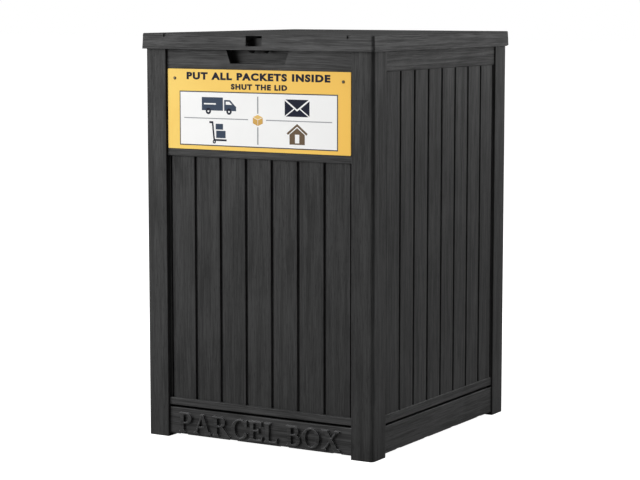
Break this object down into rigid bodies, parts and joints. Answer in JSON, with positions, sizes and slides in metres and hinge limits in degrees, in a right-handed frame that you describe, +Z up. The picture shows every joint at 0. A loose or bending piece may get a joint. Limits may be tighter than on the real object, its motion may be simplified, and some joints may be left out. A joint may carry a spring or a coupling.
{
  "type": "parcel drop box",
  "caption": "Floor-standing resin parcel box with plank-pattern walls between corner posts, a framed sign plate, a finger recess and a rear-hinged lid that takes a padlock.",
  "frame": {"origin": "on the ground under the centre of the lid's outline", "axes": "+Z up; the front, with the sign and the lock slot, faces -Y; +X is to the right seen from the front"},
  "size_m": [0.45, 0.4999, 0.69],
  "materials": {
    "panel_plastic": "moulded wood-grain texture, charcoal",
    "post_plastic": "moulded wood-grain texture, charcoal",
    "plinth_plastic": "moulded wood-grain texture, charcoal",
    "lid_plastic": "moulded wood-grain texture, charcoal",
    "inner_plastic": "fine moulded texture, charcoal",
    "sign_face": "satin amber print",
    "black_plastic": "fine moulded texture, black",
    "hinge_steel": "black powder coat",
    "bright_steel": "zinc plated"
  },
  "bodies": {
    "box": {"back_panel": "panel_plastic", "back_panel_screws": "bright_steel", "back_plinth": "plinth_plastic", "corner_post_back_left": "post_plastic", "corner_post_back_right": "post_plastic", "corner_post_front_left": "post_plastic", "corner_post_front_right": "post_plastic", "floor_panel": "inner_plastic", "floor_screws": "bright_steel", "front_panel": "panel_plastic", "front_panel_screws": "bright_steel", "front_plinth": "plinth_plastic", "hinge_body_screws": "bright_steel", "hinge_left_body_leaf": "hinge_steel", "hinge_left_pin": "bright_steel", "hinge_right_body_leaf": "hinge_steel", "hinge_right_pin": "bright_steel", "left_panel": "panel_plastic", "left_panel_screws": "bright_steel", "left_plinth": "plinth_plastic", "lock_bracket": "black_plastic", "lock_bracket_screws": "bright_steel", "lock_pin": "bright_steel", "plinth_screws": "bright_steel", "right_panel": "panel_plastic", "right_panel_screws": "bright_steel", "right_plinth": "plinth_plastic", "sign_plate": "sign_face", "sign_rivets": "bright_steel"},
    "lid": {"lid_shell": "lid_plastic", "lid_liner": "inner_plastic", "liner_screws": "bright_steel", "hinge_left_lid_leaf": "hinge_steel", "hinge_right_lid_leaf": "hinge_steel", "hinge_lid_screws": "bright_steel"}
  },
  "joints": [
    {"name": "lid_hinge", "type": "hinge", "parent": "box", "child": "lid", "pos_m": [0, 0.245, 0.6592], "axis": [-1, 0, 0], "range_deg": [0, 105]}
  ]
}
